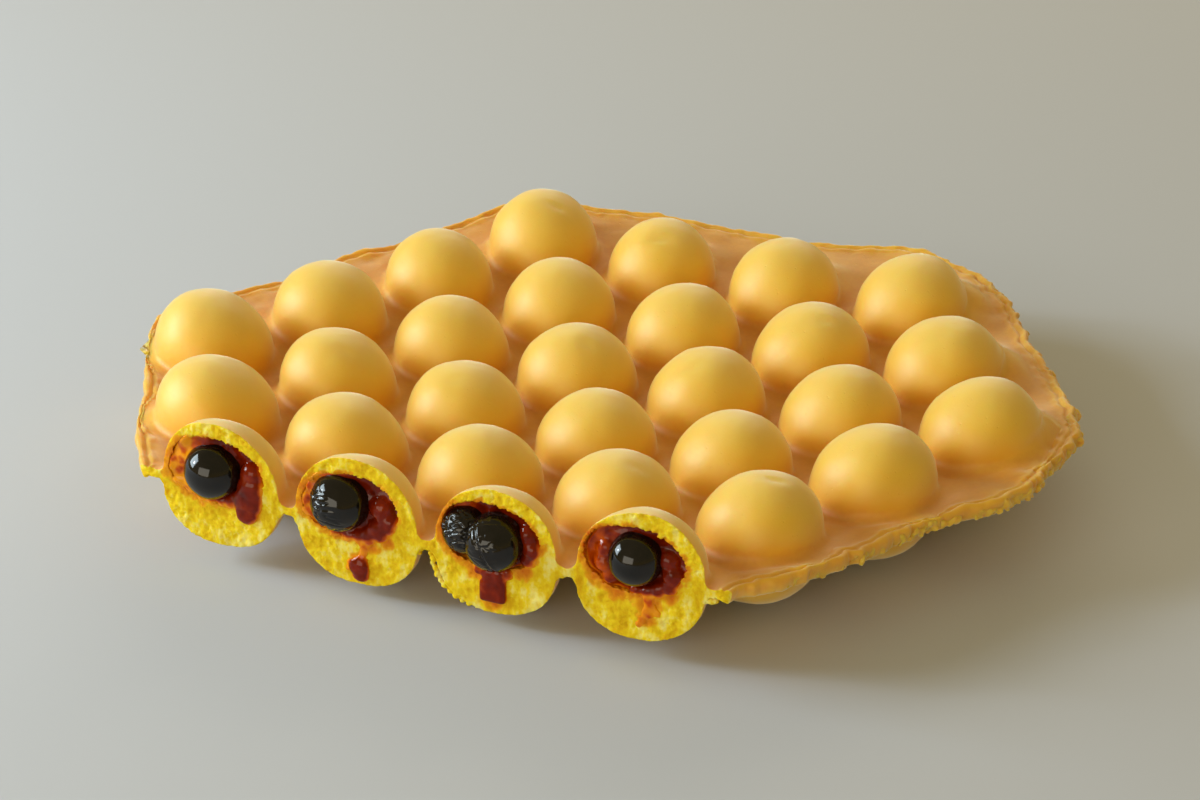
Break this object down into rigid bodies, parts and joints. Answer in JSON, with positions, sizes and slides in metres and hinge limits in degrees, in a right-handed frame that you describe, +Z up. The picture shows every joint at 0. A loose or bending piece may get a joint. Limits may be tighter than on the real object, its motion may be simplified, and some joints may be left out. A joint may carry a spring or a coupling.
{
  "type": "bubble waffle",
  "caption": "Dished hexagonal sheet of round batter bubbles, cut open along one side to show black tapioca pearls in dark syrup.",
  "frame": {"origin": "centre of the box around the part in plan, on the surface it lies on", "axes": "+X across the columns of bubbles, towards the wide right side; +Y along the columns, away from the cut corner; +Z up. The cut faces -X -Y, 30 degrees from -Y"},
  "size_m": [0.216, 0.2011, 0.0357],
  "materials": {
    "batter": "baked batter: golden crust outside, yellow porous crumb where cut",
    "pearl": "glossy black, slightly wrinkled",
    "syrup": "wet, dark red-brown"
  },
  "bodies": {
    "root": {"waffle": "batter", "pearl_1": "pearl", "pearl_2": "pearl", "pearl_3_back": "pearl", "pearl_3_front": "pearl", "pearl_4": "pearl", "syrup_1": "syrup", "syrup_2": "syrup", "syrup_3": "syrup", "syrup_4": "syrup"}
  },
  "joints": []
}
